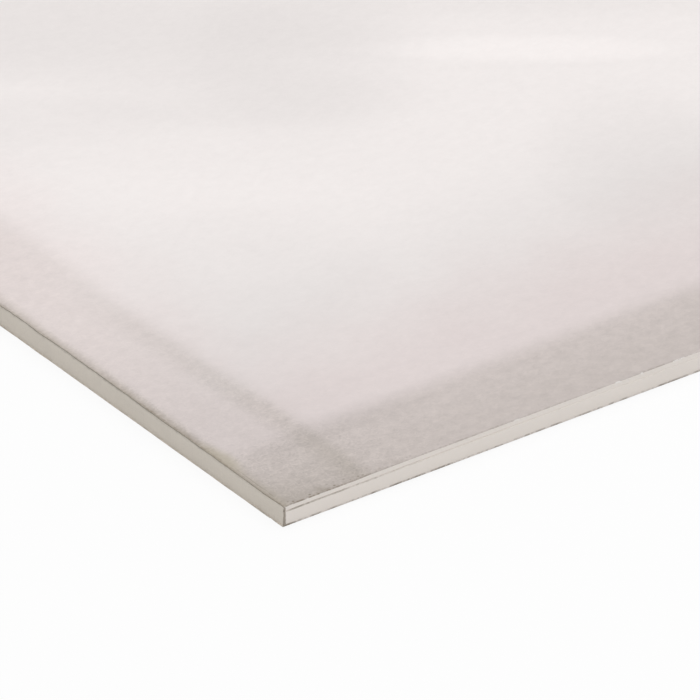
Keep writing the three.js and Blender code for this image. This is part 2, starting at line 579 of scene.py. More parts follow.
class Bench:
    """Writes the node tree of one material or world."""

    # The share of a dot's radius within which it has its full strength.
    DOT_CORE = 0.45

    def __init__(self, owner: Union[bpy.types.Material, bpy.types.World]) -> None:
        """Clears a node tree to write it anew.

        Args:
            owner: The material or world that has the tree.
        """
        owner.use_nodes = True
        self.owner = owner
        self.tree = owner.node_tree
        self.tree.nodes.clear()

    def node(self, kind: str, settings: Optional[dict[str, Any]] = None,
             inputs: Optional[dict[Union[str, int], Fill]] = None) -> bpy.types.Node:
        """Adds a node, applies its settings, and then fills its sockets.

        Args:
            kind: The node's type.
            settings: The node's own properties.
            inputs: What fills each socket, by its name or number: a link or a plain value.

        Returns:
            The node.
        """
        made = self.tree.nodes.new(kind)
        for key, value in (settings or {}).items():
            setattr(made, key, value)
        for key, value in (inputs or {}).items():
            value = value.socket if isinstance(value, Wire) else value
            if isinstance(value, bpy.types.NodeSocket):
                self.tree.links.new(value, made.inputs[key])
            else:
                made.inputs[key].default_value = value
        return made

    def math(self, operation: str, *values: Number) -> Wire:
        """One Math node on one or two numbers."""
        made = self.node("ShaderNodeMath", {"operation": operation}, dict(enumerate(values)))
        return Wire(self, made.outputs[0])

    def most(self, first: Wire, *others: Number) -> Wire:
        """The greatest of some numbers.

        Args:
            first: One of them.
            others: The rest.

        Returns:
            The greatest.
        """
        for other in others:
            first = self.math("MAXIMUM", first, other)
        return first

    def place(self) -> bpy.types.NodeSocket:
        """The surface point in object space, in metres."""
        return self.node("ShaderNodeTexCoord").outputs["Object"]

    def axes(self) -> tuple[Wire, Wire, Wire]:
        """X, Y and Z of the surface point, in metres."""
        x, y, z = self.node("ShaderNodeSeparateXYZ", inputs={0: self.place()}).outputs
        return Wire(self, x), Wire(self, y), Wire(self, z)

    def arc(self) -> Wire:
        """Distance round the section from the arris, in metres, negative on the face."""
        uv = self.node("ShaderNodeUVMap", {"uv_map": "section"}).outputs["UV"]
        return Wire(self, self.node("ShaderNodeSeparateXYZ", inputs={0: uv}).outputs["Y"])

    def ease(self, value: Wire, ramp: Ramp) -> Wire:
        """A smoothstep of a number.

        Args:
            value: The number.
            ramp: Where the smoothstep is 0 and where it is 1.

        Returns:
            A share from 0 to 1.
        """
        rising = ramp[0] < ramp[1]
        low, high, bottom, top = (*ramp, 0.0, 1.0) if rising else (*ramp[::-1], 1.0, 0.0)
        made = self.node("ShaderNodeMapRange", {"interpolation_type": "SMOOTHSTEP"}, {
            "Value": value, "From Min": low, "From Max": high, "To Min": bottom, "To Max": top})
        return Wire(self, made.outputs["Result"])

    def stripe(self, value: Wire, middle: float, half_width: float) -> Wire:
        """A soft stripe: 1 where a number is `middle`, easing to 0 at `half_width` from it."""
        return self.ease(abs(value - middle), (half_width, 0.0))

    def stretched(self, size: Size) -> bpy.types.NodeSocket:
        """The surface point counted in cells of a size, in metres."""
        scale = (1.0 / np.broadcast_to(size, 3)).tolist()
        return self.node("ShaderNodeMapping", inputs={"Vector": self.place(), "Scale": scale}).outputs[0]

    def turned(self, middle: Place, turn: float, size: Place) -> bpy.types.NodeSocket:
        """The surface point from a middle, turned about Z and counted in the given sizes."""
        inputs = {"Vector": self.place(), "Location": middle, "Rotation": (0.0, 0.0, turn), "Scale": size}
        return self.node("ShaderNodeMapping", {"vector_type": "TEXTURE"}, inputs).outputs[0]

    def squared(self, vector: bpy.types.NodeSocket) -> Wire:
        """The squared length of a vector."""
        dot = self.node("ShaderNodeVectorMath", {"operation": "DOT_PRODUCT"}, {0: vector, 1: vector})
        return Wire(self, dot.outputs["Value"])

    def noise(self, size: Size, detail: float = 2.0, roughness: float = 0.5, distortion: float = 0.0) -> Wire:
        """Noise that averages 0 and mostly keeps within a half of it.

        Args:
            size: Size of its blots.
            detail: Number of finer layers.
            roughness: Strength of each layer against the last.
            distortion: How far it is pulled about.

        Returns:
            The noise.
        """
        made = self.node("ShaderNodeTexNoise", inputs={
            "Vector": self.stretched(size), "Scale": 1.0, "Detail": detail, "Roughness": roughness,
            "Distortion": distortion})
        return Wire(self, made.outputs["Fac"]) - 0.5

    def specks(self, size: Size, radius: float, share: float) -> Wire:
        """Scattered dots.

        Args:
            size: Size of the cells, each of which may hold a dot.
            radius: Radius of the dots, in cells.
            share: Share of the cells that hold one.

        Returns:
            1 inside a dot and 0 outside.
        """
        made = self.node("ShaderNodeTexVoronoi", inputs={"Vector": self.stretched(size), "Scale": 1.0})
        pick = Wire(self, self.node("ShaderNodeSeparateColor", inputs={0: made.outputs["Color"]}).outputs[0])
        dot = self.ease(Wire(self, made.outputs["Distance"]), (radius, radius * self.DOT_CORE))
        return dot * self.math("LESS_THAN", pick, share)

    def mix(self, factor: Number, low: Fill, high: Fill) -> bpy.types.NodeSocket:
        """Mixes two colours, each a link or three numbers."""
        low, high = ((*c, 1.0) if isinstance(c, tuple) else c for c in (low, high))
        return self.node("ShaderNodeMix", {"data_type": "RGBA"}, {0: factor, 6: low, 7: high}).outputs[2]

    def shade(self, colour: Fill, tone: Wire) -> bpy.types.NodeSocket:
        """Multiplies a colour by a number."""
        inputs = {0: colour, "Scale": tone}
        return self.node("ShaderNodeVectorMath", {"operation": "SCALE"}, inputs).outputs[0]

    def finish(self, colour: Fill, roughness: Number, relief: Wire, depth: float,
               specular: float) -> bpy.types.Material:
        """Closes a material's tree with a matt surface.

        Args:
            colour: Base colour.
            roughness: Roughness.
            relief: Height of the fine relief, as a share of `depth`.
            depth: Real depth of the relief, in metres.
            specular: Specular level.

        Returns:
            The finished material.
        """
        normal = self.node("ShaderNodeBump", inputs={"Height": relief, "Distance": depth}).outputs[0]
        surface = self.node("ShaderNodeBsdfPrincipled", inputs={
            "Base Color": colour, "Roughness": roughness, "Normal": normal, "Specular IOR Level": specular})
        self.node("ShaderNodeOutputMaterial", inputs={"Surface": surface.outputs[0]})
        return self.owner


def toned(colour: Colour, share: float) -> Colour:
    """A colour times a share, which lightens it where the share is over 1."""
    return tuple(min(1.0, c * share) for c in colour)


# ------------------------------------------------------------------ finishes


@dataclass(frozen=True)
class Cloud:
    """A soft elliptical patch of the face, a little darker or lighter: partly painted light and shade, partly
    uneven tone.

    Attributes:
        reach: Its middle's distance in from the near cut end.
        inset: Its middle's distance in from the near long edge.
        length: Half its length.
        width: Half its width.
        shade: The share of the face's tone that it takes away in the middle, below 0 where it adds.
        turn: How far its length is turned from along the sheet, in degrees.
    """

    reach: float
    inset: float
    length: float
    width: float
    shade: float
    turn: float = -36.0


# Soft patches by the near corner: partly painted light and shade, partly the paper's own uneven tone.
CLOUDS = (
    Cloud(169 * MM, 470 * MM, 198 * MM, 55 * MM, 0.077),
    Cloud(220 * MM, 345 * MM, 94 * MM, 33 * MM, 0.041),
    Cloud(269 * MM, 362 * MM, 59 * MM, 90 * MM, 0.041),
    Cloud(369 * MM, 299 * MM, 78 * MM, 14 * MM, -0.055),
    Cloud(71 * MM, 335 * MM, 170 * MM, 26 * MM, -0.019),
    Cloud(343 * MM, 177 * MM, 47 * MM, 73 * MM, 0.045),
    Cloud(110 * MM, 394 * MM, 96 * MM, 26 * MM, 0.030),
    Cloud(416 * MM, 356 * MM, 130 * MM, 42 * MM, 0.052),
    Cloud(70 * MM, 48 * MM, 54 * MM, 12 * MM, 0.056, 0.0),
    Cloud(105 * MM, 193 * MM, 74 * MM, 68 * MM, 0.038, 0.0),
)


@dataclass(frozen=True)
class FaceMap:
    """The places and noises that the parts of the face paper's finish share.

    Attributes:
        bench: The material's bench.
        x: Place along the sheet.
        y: Place across the sheet.
        z: Height.
        arc: Distance round the section from the arris, negative on the face.
        reach: Distance in from the nearer cut end.
        inset: Distance in from the nearer long edge.
        side: 1 on the side of the sheet and 0 on its face.
        drift: Slow unevenness, for the borders of zones.
        fuzz: Unevenness for fine borders.
        grit: Unevenness for finer ones.
        stretches: 1 in patches that break a line into long stretches, and 0 between them.
        dashes: The same, for dashes.
        grains: The same, for grains.
        dots: The same, as fine scattered dots.
    """

    bench: Bench
    x: Wire
    y: Wire
    z: Wire
    arc: Wire
    reach: Wire
    inset: Wire
    side: Wire
    drift: Wire
    fuzz: Wire
    grit: Wire
    stretches: Wire
    dashes: Wire
    grains: Wire
    dots: Wire

    @classmethod
    def read(cls, bench: Bench, form: SheetForm) -> "FaceMap":
        """Writes the map's nodes.

        Args:
            bench: The material's bench.
            form: The sheet's sizes.

        Returns:
            The map.
        """
        x, y, z = bench.axes()
        arc = bench.arc()
        fuzz = bench.noise(6 * MM, 3.0, 0.6)
        return cls(
            bench=bench,
            x=x,
            y=y,
            z=z,
            arc=arc,
            reach=form.length / 2 - abs(x),
            inset=form.width / 2 - abs(y),
            side=bench.ease(arc, (-0.2 * MM, 0.4 * MM)),
            drift=bench.noise(40 * MM, 3.0),
            fuzz=fuzz,
            grit=bench.noise(1.7 * MM, 2.0, 0.6),
            stretches=bench.ease(bench.noise(24 * MM, 4.0, 0.6), (-0.12, 0.12)),
            dashes=bench.ease(fuzz, (-0.07, 0.07)),
            grains=bench.ease(bench.noise(1.8 * MM, 1.0), (-0.08, 0.08)),
            dots=bench.specks((2.5 * MM, 2.1 * MM, 2.1 * MM), 0.38, 0.5),
        )


@dataclass(frozen=True)
class PressedGrimeAndShade:
    """Grime and painted shade in the zones that were pressed: the long tapers, the cut ends and the step's
    line.

    The tapers are even. The zone past the step at a cut end is lighter and darkens towards the
    corners, and a fine line along the step's foot fades away from them. The line is painted shade
    where the face steps down. The darkening towards the corners, tips, cuts and long edges is painted
    shade with some dirt, and the tapers' tone is partly painted shade of their slope. A zone's share
    runs from 0 to 1. Where zones overlap, what each leaves clean is multiplied.

    Attributes:
        form: The sheet's sizes.
        step_skew: How much nearer to the cut the step's line lies, away from the long edges.
        skew_ramp: Where that starts and is full, in from a long edge.
        end_grime: Grime of the zone at a cut end.
        end_border: Where the zone ends and is full, from the step inwards.
        end_drift: How far its border wanders.
        corner_grime_and_shade: How much more of it lies in the corners, grime and painted shade.
        corner_ramp: Where that ends and is full, in from a long edge.
        taper_grime_and_shade: Grime of the tapers, with painted shade of their slope.
        taper_border: Where a taper's grime ends and is full, from the taper's end inwards.
        taper_drift: How far its border wanders.
        taper_in_end: The share of it that is missing in the zone at a cut end.
        edge_grime_and_shade: How much more of it lies at the long edge, as painted shade where the light
            falls off.
        step_line_shade: Strength of the painted shade in the line along the step's foot, where the face steps
            down.
        line_borders: Where the line ends and is full on its inner side, and on its outer side.
        line_fade: Where it ends and is full, in from a long edge.
        tip_grime_and_shade: Grime and painted shade of the corners' tips.
        tip_slant: How much faster that fades in from the long edge than from the cut.
        tip_ramp: Where it ends and is full, in from the cut.
        cut_grime_and_shade: Grime and painted shade right at the cut, where the arris rolls over.
        cut_ramp: Where it ends and is full, in from the cut.
        near_grime_and_shade: How much more of it lies near the long edges, grime and painted shade.
        near_ramp: Where that ends and is full, in from a long edge.
    """

    form: SheetForm
    step_skew: float = 6.6 * MM
    skew_ramp: Ramp = (30 * MM, 210 * MM)
    end_grime: float = 0.155
    end_border: Ramp = (15.9 * MM, -0.8 * MM)
    end_drift: float = 4 * MM
    corner_grime_and_shade: float = 0.217
    corner_ramp: Ramp = (58 * MM, 0.0)
    taper_grime_and_shade: float = 0.356
    taper_border: Ramp = (7.4 * MM, -12.1 * MM)
    taper_drift: float = 3 * MM
    taper_in_end: float = 0.24
    edge_grime_and_shade: float = 0.12
    step_line_shade: float = 0.31
    line_borders: tuple[Ramp, Ramp] = ((9 * MM, 0.0), (-14.4 * MM, -1 * MM))
    line_fade: Ramp = (290 * MM, 0.0)
    tip_grime_and_shade: float = 0.37
    tip_slant: float = 1.3
    tip_ramp: Ramp = (54 * MM, 5 * MM)
    cut_grime_and_shade: float = 0.346
    cut_ramp: Ramp = (12.7 * MM, 0.5 * MM)
    near_grime_and_shade: float = 0.16
    near_ramp: Ramp = (300 * MM, 80 * MM)

    def share(self, spot: FaceMap) -> Wire:
        """Where the pressed zones' dirt and painted shade are.

        Args:
            spot: The map of the face.

        Returns:
            Its share, 0 on clean paper.
        """
        ease, reach, inset = spot.bench.ease, spot.reach, spot.inset
        past_step = reach + spot.drift * self.end_drift + ease(inset, self.skew_ramp) * self.step_skew
        past_step = past_step - self.form.step_distance
        end_zone = ease(past_step, self.end_border)
        # The end zone, with grime and painted shade that darken towards the corners.
        end = end_zone * (ease(inset, self.corner_ramp) * self.corner_grime_and_shade + self.end_grime)
        # The tapers: darker pressed paper and painted shade of their slope, more of it at the long edge.
        past_taper = inset + spot.drift * self.taper_drift - self.form.taper_width
        taper = ease(past_taper, self.taper_border) * (1 - end_zone * self.taper_in_end)
        taper = taper * (ease(inset, (self.form.taper_width, 0.0)) * self.edge_grime_and_shade + self.taper_grime_and_shade)
        # Painted shade along the step's foot, where the face steps down.
        line = ease(past_step, self.line_borders[0]) * ease(past_step, self.line_borders[1])
        line = line * ease(inset, self.line_fade) * self.step_line_shade
        # Grime and painted shade at the corners' tips.
        tip = ease(reach + inset * self.tip_slant, self.tip_ramp) * self.tip_grime_and_shade
        # Grime and painted shade along the cut, over the rolled arris.
        by_cut = ease(reach, self.cut_ramp)
        by_cut = by_cut * by_cut * by_cut * (ease(inset, self.near_ramp) * self.near_grime_and_shade + self.cut_grime_and_shade)
        clean = 1 - end
        for patch in (taper, line, tip, by_cut):
            clean = clean * (1 - patch)
        return 1 - clean


@dataclass(frozen=True)
class PaperTone:
    """Tone of the paper's unevenness: its own leathery mottle, crinkles as painted light and shade, and soft
    clouds.

    Attributes:
        form: The sheet's sizes.
        leather: Strength of the leathery formation.
        blotches: Strength of the blotches.
        crinkle_ramp: Where the wrinkles end and are full, in from the corner.
        crests: Strength of the painted highlights on their crests.
        crest_width: Width of a crest, in values of its noise.
        pits: Strength of the painted shade in their pits.
        grit: Strength of the grit in them.
        folds: Strength of the painted light and shade of their folds.
        crinkle_middle: The mean of it all, which is taken away again.
        clouds: Strength of the slow noise.
        cloudy_reach: Where it starts and is full, in from the near cut end.
        cloudy_inset: Where it starts and is full, in from the near long edge.
        cloud_rim: Squared distance from its middle, in half sizes, at which a cloud ends.
    """

    form: SheetForm
    leather: float = 0.14
    blotches: float = 0.10
    crinkle_ramp: Ramp = (130 * MM, 30 * MM)
    crests: float = 0.10
    crest_width: float = 0.07
    pits: float = 0.08
    grit: float = 0.19
    folds: float = 0.10
    crinkle_middle: float = 0.014
    clouds: float = 0.13
    cloudy_reach: Ramp = (470 * MM, 800 * MM)
    cloudy_inset: Ramp = (520 * MM, 800 * MM)
    cloud_rim: float = 1.6

    def mottle(self, spot: FaceMap, pressed: Wire, border: Wire) -> Wire:
        """Leathery formation and blotches, stronger where pressed and weaker on the sides.

        Args:
            spot: The map of the face.
            pressed: 1 in the pressed zones.
            border: 1 in the sheet's border.

        Returns:
            The tone, which averages 1.
        """
        leather = spot.bench.noise((3.2 * MM, 2.7 * MM, 2.7 * MM), 3.0, 0.72, 0.8)
        blotches = spot.bench.noise((8 * MM, 6 * MM, 6 * MM))
        strength = (pressed * 1.25 + border * 0.3 + 0.5) * (1 - spot.side * 0.6)
        return (leather * self.leather + blotches * self.blotches) * strength + 1

    def crinkle(self, spot: FaceMap, pressed: Wire) -> Wire:
        """Fine wrinkles of the pressed paper towards the corners, as painted light and shade: pale crests,
        pits and folds.

        Args:
            spot: The map of the face.
            pressed: 1 in the pressed zones.

        Returns:
            What the wrinkles add to the tone.
        """
        bench = spot.bench
        by_corner = bench.ease(spot.reach * 0.8 + spot.inset * 0.35, self.crinkle_ramp) * pressed
        crests = abs(bench.noise((6 * MM, 5 * MM, 5 * MM), 2.0, 0.55, 0.8))
        crests = bench.ease(crests, (self.crest_width, 0.0)) * self.crests
        grit = bench.noise((1.3 * MM, 1.1 * MM, 1.1 * MM), 1.0) * self.grit
        folds = bench.noise((11 * MM, 9 * MM, 9 * MM), 1.0) * self.folds
        # Painted highlights on the crests, painted shade in the pits and folds.
        return (crests - spot.dots * self.pits + grit + folds - self.crinkle_middle) * by_corner

    def cloudiness(self, spot: FaceMap) -> Wire:
        """The soft clouds: slow noise, and by the near corner the clouds of the list, partly painted light
        and shade.

        A cloud of the list is a smoothstep of the squared elliptical distance from its middle.

        Args:
            spot: The map of the face.

        Returns:
            The tone, 1 where there is no cloud.
        """
        bench, half_length, half_width = spot.bench, self.form.length / 2, self.form.width / 2
        away = bench.most(bench.ease(spot.x + half_length, self.cloudy_reach),
                          bench.ease(spot.y + half_width, self.cloudy_inset))
        tone = bench.noise((230 * MM, 110 * MM, 110 * MM)) * away * self.clouds + 1
        # The list's clouds are partly painted light and shade.
        for cloud in CLOUDS:
            middle = (cloud.reach - half_length, cloud.inset - half_width, 0.0)
            oval = bench.turned(middle, math.radians(cloud.turn), (cloud.length, cloud.width, 1.0))
            tone = tone * (1 - bench.ease(bench.squared(oval), (self.cloud_rim, 0.0)) * cloud.shade)
        return tone


@dataclass(frozen=True)
class RubbedDirtAndShade:
    """Dirt rubbed into the edges of the face paper, with painted shade in the crease and under the fold.
    Where patches overlap, the darkest counts.

    Attributes:
        form: The sheet's sizes.
        whole_ramp: Where the long lines start to be whole and are, in from a cut.
        near_ramp: Where a cut's rim starts to be darker and is, in from a long edge.
        face_ramp: The border of side and face, by the arc.
        arris_dirt: Dirt of the line along the arris.
        arris_middle: Its middle, by the arc.
        arris_half_width: Half its width.
        crease_shift: How far below the crease the line along it lies.
        crease_half_width: Half its width.
        fold_ramp: Heights at which the line along the fold ends and is full: painted shadow under the edge,
            with dirt.
        fold_end_ramp: Where that line starts to be darker and is, in from a cut.
        rim_ramp: Where a cut's rim ends and is full, in from the cut.
        doubled_ramps: Where the second line ends and is full, inwards and towards the long edge.
        burr_dirt: Dirt of the second line.
        burr_middle: Its middle, in from the cut.
        burr_half_width: Half its width.
        corner_dirt: Dirt of the line on the side.
        corner_ramp: Where it ends and is full, in from the cut.
        fringe_dirt: Dirt of the fringe.
        fringe_ramp: Where it ends and is full, in from the cut.
        fringe_inset: Where it is faint and where it is full, in from a long edge.
        rubbed_ramps: Where specks and scuffs end and are full, by the arc, far and close.
        speck_dirt: Dirt of the specks.
        scuff_dirt: Dirt of the scuffs.
    """

    form: SheetForm
    whole_ramp: Ramp = (105 * MM, 15 * MM)
    near_ramp: Ramp = (260 * MM, 100 * MM)
    face_ramp: Ramp = (0.2 * MM, -0.2 * MM)
    arris_dirt: float = 0.8
    arris_middle: float = -0.3 * MM
    arris_half_width: float = 0.85 * MM
    crease_shift: float = 0.1 * MM
    crease_half_width: float = 0.6 * MM
    fold_ramp: Ramp = (1.9 * MM, 0.7 * MM)
    fold_end_ramp: Ramp = (7 * MM, 3 * MM)
    rim_ramp: Ramp = (2.2 * MM, 0.5 * MM)
    doubled_ramps: tuple[Ramp, Ramp] = ((60 * MM, 30 * MM), (7 * MM, 14 * MM))
    burr_dirt: float = 0.55
    burr_middle: float = 2.4 * MM
    burr_half_width: float = 0.5 * MM
    corner_dirt: float = 0.78
    corner_ramp: Ramp = (2.0 * MM, 1.3 * MM)
    fringe_dirt: float = 0.13
    fringe_ramp: Ramp = (5.5 * MM, 1.5 * MM)
    fringe_inset: Ramp = (35 * MM, 75 * MM)
    rubbed_ramps: tuple[Ramp, Ramp] = ((-9 * MM, 0.0), (-4 * MM, -1 * MM))
    speck_dirt: float = 0.6
    scuff_dirt: float = 0.5

    def share(self, spot: FaceMap) -> Wire:
        """Where the dirt and the painted shade are.

        Args:
            spot: The map of the face.

        Returns:
            Its share, 0 on clean paper.
        """
        whole = spot.bench.ease(spot.reach, self.whole_ramp)
        on_face = spot.bench.ease(spot.arc, self.face_ramp)
        lines, cut = self.long_lines(spot, whole), self.cut_lines(spot, on_face)
        return spot.bench.most(*lines, *cut, *self.rubbings(spot, whole, on_face))

    def long_lines(self, spot: FaceMap, whole: Wire) -> tuple[Wire, ...]:
        """The lines along arris, crease and fold, broken by noise and whole near the cuts, partly painted
        shade in crease and fold.

        Args:
            spot: The map of the face.
            whole: 1 where the lines are whole.

        Returns:
            The share of dirt of each line.
        """
        bench, stretches, dashes, grains = spot.bench, spot.stretches, spot.dashes, spot.grains
        broken_part = stretches * (grains * 0.3 + 0.15)
        whole_part = whole * (dashes * 0.3 + grains * 0.6 + 0.3)
        arris = bench.stripe(spot.arc, self.arris_middle, self.arris_half_width)
        arris = arris * bench.most(broken_part, whole_part) * self.arris_dirt
        # The crease's line: dirt, and painted shade in the crease's groove.
        crease = bench.stripe(spot.arc, self.form.crease_drop + self.crease_shift, self.crease_half_width)
        crease = crease * (whole * (dashes * 0.3 + grains * 0.1 + 0.2) + stretches * grains * 0.07)
        by_cut = bench.ease(spot.reach, self.fold_end_ramp)
        # The fold's line: painted shadow under the sheet's edge, with some dirt.
        fold = bench.ease(spot.z, self.fold_ramp)
        fold = fold * (stretches * grains * 0.3 + dashes * 0.5 + by_cut * 0.5 + 0.1)
        return arris, crease, fold

    def cut_lines(self, spot: FaceMap, on_face: Wire) -> tuple[Wire, ...]:
        """The lines along a cut.

        The face has a ragged rim, a fine second line near the corners, where a burr stands off
        the rim, and beside them a soft fringe. The side of the sheet has one crisp line.

        Args:
            spot: The map of the face.
            on_face: 1 on the face and 0 on the side.

        Returns:
            The share of dirt of each line.
        """
        bench, reach, inset, fuzz, grit = spot.bench, spot.reach, spot.inset, spot.fuzz, spot.grit
        near = bench.ease(inset, self.near_ramp)
        doubled = bench.ease(inset, self.doubled_ramps[0]) * bench.ease(inset, self.doubled_ramps[1])
        ragged = reach + fuzz * (1.8 * MM) + grit * (1.6 * MM) + doubled * (0.5 * MM)
        rim = bench.ease(ragged, self.rim_ramp) * (near * 0.35 + 0.5)
        rim = rim * (spot.grains * 0.2 + spot.dashes * 0.35 + 0.45)
        burr = bench.stripe(reach + fuzz * (1.2 * MM), self.burr_middle, self.burr_half_width)
        burr = burr * doubled * (spot.dashes * 0.5 + 0.5) * self.burr_dirt
        fringe = bench.ease(reach + fuzz * (4 * MM) + grit * (4 * MM), self.fringe_ramp) * near
        fringe = fringe * (bench.ease(inset, self.fringe_inset) * 0.7 + 0.3)
        fringe = fringe * (spot.grains + spot.dashes + spot.stretches) * self.fringe_dirt
        corner = bench.ease(reach + grit * (0.6 * MM), self.corner_ramp) * (1 - on_face) * self.corner_dirt
        return bench.most(rim, burr, fringe) * on_face, corner

    def rubbings(self, spot: FaceMap, whole: Wire, on_face: Wire) -> tuple[Wire, ...]:
        """The specks and scuffs on the face beside the arris, near the cut ends.

        Args:
            spot: The map of the face.
            whole: 1 near the cut ends.
            on_face: 1 on the face and 0 on the side.

        Returns:
            The share of dirt of specks and scuffs.
        """
        bench, (wide, close) = spot.bench, self.rubbed_ramps
        rubbed = bench.most(bench.ease(spot.arc, wide), bench.ease(spot.arc, close) * 1.5)
        rubbed = rubbed * whole * on_face
        scuffs = bench.noise((9 * MM, 7 * MM, 7 * MM), 3.0) + spot.grit * 0.3
        scuffs = bench.ease(scuffs, (0.0, 0.2)) * rubbed * self.scuff_dirt
        return (spot.dots + spot.grains * 0.2) * rubbed * self.speck_dirt, scuffs


@dataclass(frozen=True)
class FacePaperFinish:
    """Calendered off-white face paper, pinker towards its borders, grimy and with painted shade where it was
    pressed.

    Attributes:
        form: The sheet's sizes.
        colour: Colour of the clean paper.
        border_colour: Its colour in the sheet's border.
        side_colour: Its colour on the sides.
        nick_colour: Colour of the nicks on the arris.
        grime_and_shade_colour: Colour of the pressed zones' dirt and painted shade.
        stain_colour: Colour of the stains.
        dirt_and_shade_colour: Colour of the rubbed-in dirt, and of the painted shade in the crease and under
            the fold.
        border_ramp: Where the border ends and is full, in from a long edge.
        border_tone: The clean paper's tone at a long edge, painted shade where the light falls off towards
            the edge.
        border_fade: Where that tone starts to rise and is 1, in from the edge.
        border_drift: How far both of them wander.
        border_less_at_cut: How much narrower the border is at a cut.
        pressed_ramp: How much of the pressed zones' darkening marks paper that wasn't pressed and that was.
        cut_shade: The share of its tone that the clean paper loses at a cut.
        cut_fade: Where that ends and is full, in from the cut.
        stain: Strength of the stains.
        stain_middle: Middle of the stain at the taper's end, in from the long edge.
        stain_ramp: Where it ends and is full, from its middle.
        stain_corner: Where the stain at the corner ends and is full, in from the long edge.
        stain_reach: Where all stains end and are full, in from the cut.
        nick_middle: Middle of the row of nicks, by the arc.
        nick_half_width: Half its width.
        nick_ramp: Where there start to be more nicks and are, in from a cut.
    """

    form: SheetForm
    colour: Colour = (0.875, 0.828, 0.813)
    border_colour: Colour = (0.875, 0.784, 0.769)
    side_colour: Colour = (0.885, 0.823, 0.768)
    nick_colour: Colour = (0.94, 0.91, 0.88)
    grime_and_shade_colour: Colour = (0.36, 0.321, 0.276)
    stain_colour: Colour = (0.47, 0.42, 0.33)
    dirt_and_shade_colour: Colour = (0.22, 0.18, 0.135)
    border_ramp: Ramp = (170 * MM, 70 * MM)
    border_tone: float = 0.83
    border_fade: Ramp = (53 * MM, 240 * MM)
    border_drift: float = 40 * MM
    border_less_at_cut: float = 60 * MM
    pressed_ramp: Ramp = (0.0, 0.4)
    cut_shade: float = 0.065
    cut_fade: Ramp = (126 * MM, 0.0)
    stain: float = 0.72
    stain_middle: float = 57 * MM
    stain_ramp: Ramp = (30 * MM, 8 * MM)
    stain_corner: Ramp = (16 * MM, 6 * MM)
    stain_reach: Ramp = (8 * MM, 0.5 * MM)
    nick_middle: float = 0.2 * MM
    nick_half_width: float = 0.9 * MM
    nick_ramp: Ramp = (110 * MM, 200 * MM)

    def make(self) -> bpy.types.Material:
        """Writes the material, which reads the "section" UV map.

        Returns:
            The finished material.
        """
        bench = Bench(bpy.data.materials.new("face_paper_calendered"))
        spot = FaceMap.read(bench, self.form)
        tone = PaperTone(self.form)
        nearest = bench.math("MINIMUM", spot.reach + self.border_less_at_cut, spot.inset)
        border = bench.ease(nearest + spot.drift * self.border_drift, self.border_ramp)
        # Grime and painted shade of the pressed zones, the step and the corners.
        grime_and_shade = PressedGrimeAndShade(self.form).share(spot) * (1 - spot.side)
        pressed = bench.ease(grime_and_shade, self.pressed_ramp)
        colour = bench.mix(grime_and_shade, self.clean_paper(spot, border), self.grime_and_shade_colour)
        # The crinkles' tone is painted light and shade, and the clouds' is partly.
        uneven = tone.mottle(spot, pressed, border) + tone.crinkle(spot, pressed)
        colour = bench.shade(colour, uneven * tone.cloudiness(spot))
        colour = bench.mix(self.stains(spot), colour, self.stain_colour)
        # Rubbed-in dirt, with painted shade in the crease and under the fold.
        colour = bench.mix(RubbedDirtAndShade(self.form).share(spot), colour, self.dirt_and_shade_colour)
        colour = bench.mix(self.nicks(spot), colour, self.nick_colour)
        fibre = bench.noise((1.3 * MM, 0.8 * MM, 0.8 * MM), 3.0, 0.6)
        peel = bench.noise((5 * MM, 4 * MM, 4 * MM), 2.0)
        sheen = bench.noise((9 * MM, 6 * MM, 6 * MM), 2.0) * 0.16 + 0.62
        return bench.finish(colour, sheen, fibre * 0.4 + peel * 0.6, 0.05 * MM, 0.35)

    def clean_paper(self, spot: FaceMap, border: Wire) -> bpy.types.NodeSocket:
        """The colour of the clean paper, with painted shade towards the long edges, and darker towards the
        cuts.

        Args:
            spot: The map of the face.
            border: 1 in the sheet's border.

        Returns:
            The colour.
        """
        bench, ease = spot.bench, spot.bench.ease
        # Painted shade: the tone falls towards the long edges, as the light falls off.
        tone = ease(spot.inset + spot.drift * self.border_drift, self.border_fade) * (1 - self.border_tone)
        tone = (tone + self.border_tone) * (1 - ease(spot.reach, self.cut_fade) * self.cut_shade)
        paper = bench.shade(bench.mix(border, self.colour, self.border_colour), tone)
        return bench.mix(spot.side, paper, self.side_colour)

    def stains(self, spot: FaceMap) -> Wire:
        """The share of stain: along the cuts, where the taper ends, at the corners and in patches.

        Args:
            spot: The map of the face.

        Returns:
            The share, 0 on clean paper.
        """
        ease, drift = spot.bench.ease, spot.drift
        by_taper = ease(abs(spot.inset + drift * (20 * MM) - self.stain_middle), self.stain_ramp)
        by_corner = ease(spot.inset, self.stain_corner) * 0.6
        stain = spot.bench.most(by_taper, by_corner, ease(drift, (-0.2, 0.2)) * 0.4 + 0.15)
        return stain * ease(spot.reach + drift * (16 * MM), self.stain_reach) * (1 - spot.side) * self.stain

    def nicks(self, spot: FaceMap) -> Wire:
        """The share of pale nicks along the arris, more of it away from the cuts.

        Args:
            spot: The map of the face.

        Returns:
            The share, 0 where the arris is whole.
        """
        bench = spot.bench
        nicks = bench.ease(bench.noise(9 * MM, 4.0, 0.7), (0.09, 0.15))
        nicks = nicks * bench.stripe(spot.arc, self.nick_middle, self.nick_half_width)
        return nicks * (bench.ease(spot.reach, self.nick_ramp) * 0.45 + 0.35)


